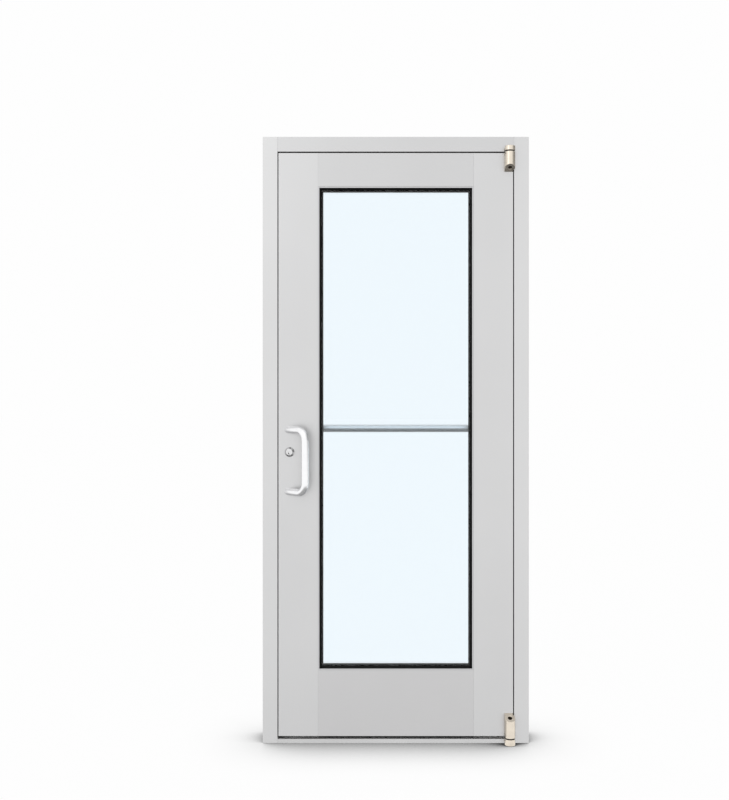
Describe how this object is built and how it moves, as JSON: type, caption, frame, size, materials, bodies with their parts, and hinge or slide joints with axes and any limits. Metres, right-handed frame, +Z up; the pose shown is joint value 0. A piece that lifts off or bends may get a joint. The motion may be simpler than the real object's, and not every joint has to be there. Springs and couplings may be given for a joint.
{
  "type": "glass door",
  "caption": "Glazed aluminium entrance door on offset pivots, in its tubular frame, with pull handle, push bar and deadlock.",
  "frame": {"origin": "on the floor, at the middle of the frame's width and depth, on the underside of the threshold's middle rib", "axes": "+X along the wall towards the pivots, +Y into the room, +Z up; the leaf opens towards -Y"},
  "size_m": [0.9144, 0.1967, 2.0828],
  "materials": {
    "anodised": "satin clear anodised",
    "threshold_metal": "mill finish",
    "pivot_metal": "satin nickel-brass",
    "steel": "zinc plated",
    "lock_metal": "brushed",
    "block_metal": "mill finish",
    "weather_rubber": "matte",
    "gasket_rubber": "matte",
    "washer_plastic": "matte",
    "glass": "clear",
    "spacer": "matte",
    "pull_metal": "satin polished",
    "push_metal": "satin anodised",
    "cylinder_metal": "satin chrome"
  },
  "bodies": {
    "frame": {"hinge_jamb": "anodised", "strike_jamb": "anodised", "header": "anodised", "threshold": "threshold_metal", "hinge_jamb_stop": "anodised", "strike_jamb_stop": "anodised", "header_stop": "anodised", "weatherstrips": "weather_rubber", "frame_screws": "steel", "strike_plate": "lock_metal", "strike_backer": "steel", "strike_screws": "steel", "top_frame_pivot": "pivot_metal", "bottom_frame_pivot": "pivot_metal", "pivot_pins": "steel", "pivot_washers": "washer_plastic", "frame_pivot_screws": "steel"},
    "leaf": {"hinge_stile": "anodised", "lock_stile": "anodised", "top_rail": "anodised", "bottom_rail": "anodised", "corner_blocks": "block_metal", "tie_rods": "steel", "tie_rod_nuts": "steel", "outer_pane": "glass", "inner_pane": "glass", "edge_spacer": "spacer", "setting_blocks": "weather_rubber", "front_stop_hinge": "anodised", "front_stop_lock": "anodised", "front_stop_top": "anodised", "front_stop_bottom": "anodised", "rear_stop_hinge": "anodised", "rear_stop_lock": "anodised", "rear_stop_top": "anodised", "rear_stop_bottom": "anodised", "front_gaskets": "gasket_rubber", "rear_gaskets": "gasket_rubber", "door_sweep": "weather_rubber", "top_leaf_pivot": "pivot_metal", "bottom_leaf_pivot": "pivot_metal", "pivot_blocks": "block_metal", "leaf_pivot_screws": "steel", "adjusting_screws": "steel", "pull_handle": "pull_metal", "pull_bolts": "steel", "push_bar": "push_metal", "push_bar_brackets": "push_metal", "push_bar_bolt": "steel", "lock_case": "steel", "lock_faceplate": "lock_metal", "lock_screws": "steel", "lock_tabs": "steel", "key_cylinder": "cylinder_metal", "turn_cylinder": "cylinder_metal", "bolt_pin": "steel"},
    "deadbolt": {"deadbolt": "lock_metal"},
    "key_plug": {"key_plug": "cylinder_metal"},
    "thumb_turn": {"thumb_turn": "cylinder_metal"}
  },
  "joints": [
    {"name": "door_swing", "type": "hinge", "parent": "frame", "child": "leaf", "pos_m": [0.39053, -0.0762, 0], "axis": [0, 0, 1], "range_deg": [0, 175]},
    {"name": "bolt_throw", "type": "hinge", "parent": "leaf", "child": "deadbolt", "pos_m": [-0.38972, -0.03492, 0.93], "axis": [0, -1, 0], "range_deg": [0, 90]},
    {"name": "key_turn", "type": "hinge", "parent": "leaf", "child": "key_plug", "pos_m": [-0.36724, -0.065, 0.99603], "axis": [0, -1, 0], "range_deg": [0, 360]},
    {"name": "thumb_turning", "type": "hinge", "parent": "leaf", "child": "thumb_turn", "pos_m": [-0.36512, 0, 1], "axis": [0, -1, 0], "range_deg": [0, 360]}
  ],
  "couplings": [
    {"joint": "key_turn", "follows": "bolt_throw", "ratio": 4},
    {"joint": "thumb_turning", "follows": "bolt_throw", "ratio": 4}
  ]
}
